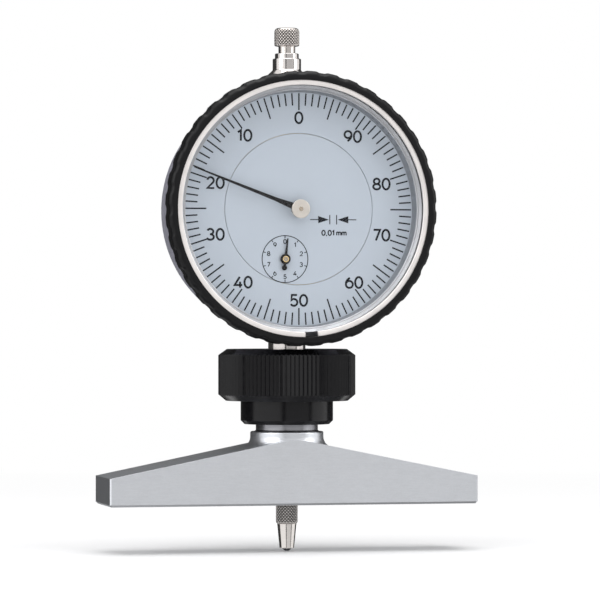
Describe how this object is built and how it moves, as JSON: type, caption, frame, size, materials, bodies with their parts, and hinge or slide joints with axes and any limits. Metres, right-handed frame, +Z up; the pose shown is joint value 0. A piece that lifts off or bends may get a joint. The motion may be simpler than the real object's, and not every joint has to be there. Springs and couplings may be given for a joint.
{
  "type": "depth micrometer",
  "caption": "Dial depth gauge: a round dial indicator clamped by a black nut in a flat steel measuring bridge, with a spring-loaded contact point through its foot",
  "frame": {"origin": "centre of the bridge's flat measuring face, on the plunger's axis", "axes": "+Z up along the plunger, +X along the bridge to the reader's right, dial facing -Y"},
  "size_m": [0.08, 0.0315, 0.1121],
  "materials": {
    "ground_steel": "ground flat, satin",
    "collet_steel": "turned, satin",
    "black_anodised": "black anodised, finely turned and serrated",
    "case_grey": "semi-gloss grey coating",
    "bezel_black": "moulded, glossy black",
    "crystal": "clear, polished",
    "snap_ring_silver": "bright, lightly brushed",
    "spacer_silver": "satin silver",
    "dial_silver": "matt silver",
    "plate_brass": "fine brushed",
    "gear_brass": "bright",
    "arbor_steel": "hardened, polished",
    "nickel": "nickel plated, polished",
    "plunger_steel": "hardened, ground",
    "hard_ball": "lapped",
    "spring_steel": "drawn wire",
    "hand_black": "semi-gloss black",
    "screw_steel": "bright"
  },
  "bodies": {
    "bridge": {"base_bridge": "ground_steel", "collet": "collet_steel"},
    "nut": {"clamp_nut": "black_anodised"},
    "gauge": {"case": "case_grey", "back_cover": "case_grey", "cover_screws": "screw_steel", "stem": "nickel", "stem_bushes": "plate_brass", "upper_guide": "nickel", "top_sleeve": "nickel", "dial_disc": "dial_silver", "dial_plate": "plate_brass", "plate_screws": "screw_steel", "short_pillars": "gear_brass", "long_pillars": "gear_brass", "centre_bridge": "plate_brass", "rear_bridge": "plate_brass", "bridge_screws": "screw_steel", "hairspring_stud": "gear_brass"},
    "bezel_group": {"bezel": "bezel_black", "bezel_spring": "spring_steel", "crystal": "crystal", "snap_ring": "snap_ring_silver", "spacer_ring": "spacer_silver", "scale_ring": "dial_silver"},
    "plunger_group": {"plunger": "plunger_steel", "guide_pin": "plunger_steel", "spring_collar": "plunger_steel", "return_spring": "spring_steel", "lifting_knob": "nickel", "contact_point": "nickel", "contact_ball": "hard_ball"},
    "centre_group": {"centre_arbor": "arbor_steel", "main_hand": "hand_black", "hand_hub": "nickel"},
    "counter_group": {"counter_arbor": "arbor_steel", "counter_wheel": "gear_brass", "counter_hand": "hand_black", "counter_bush": "gear_brass"},
    "hairspring_group": {"hairspring_arbor": "arbor_steel", "hairspring_wheel": "gear_brass", "hairspring": "spring_steel"}
  },
  "joints": [
    {"name": "nut_turn", "type": "hinge", "parent": "bridge", "child": "nut", "pos_m": [0, 0, 0.025], "axis": [0, 0, 1], "range_deg": [0, 180]},
    {"name": "gauge_swivel", "type": "hinge", "parent": "bridge", "child": "gauge", "pos_m": [0, 0, 0.025], "axis": [0, 0, 1], "continuous": true},
    {"name": "bezel_turn", "type": "hinge", "parent": "gauge", "child": "bezel_group", "pos_m": [0, -0.0135, 0.06275], "axis": [0, 1, 0], "continuous": true},
    {"name": "plunger_slide", "type": "slide", "parent": "gauge", "child": "plunger_group", "axis": [0, 0, 1], "range_m": [0, 0.0105], "stiffness_N_per_m": 30, "springref_m": -0.02, "deforming": ["return_spring"]},
    {"name": "hand_turn", "type": "hinge", "parent": "gauge", "child": "centre_group", "pos_m": [0, -0.008, 0.06275], "axis": [0, 1, 0], "range_deg": [0, 3780]},
    {"name": "counter_turn", "type": "hinge", "parent": "gauge", "child": "counter_group", "pos_m": [-0.003, -0.006, 0.05217], "axis": [0, 1, 0], "range_deg": [-378, 0]},
    {"name": "hairspring_turn", "type": "hinge", "parent": "gauge", "child": "hairspring_group", "pos_m": [0.0065, -0.007, 0.07163], "axis": [0, 1, 0], "range_deg": [-378, 0]}
  ],
  "couplings": [
    {"joint": "hand_turn", "follows": "plunger_slide", "rad_per_m": 6283.2},
    {"joint": "counter_turn", "follows": "plunger_slide", "rad_per_m": -628.32},
    {"joint": "hairspring_turn", "follows": "plunger_slide", "rad_per_m": -628.32}
  ]
}
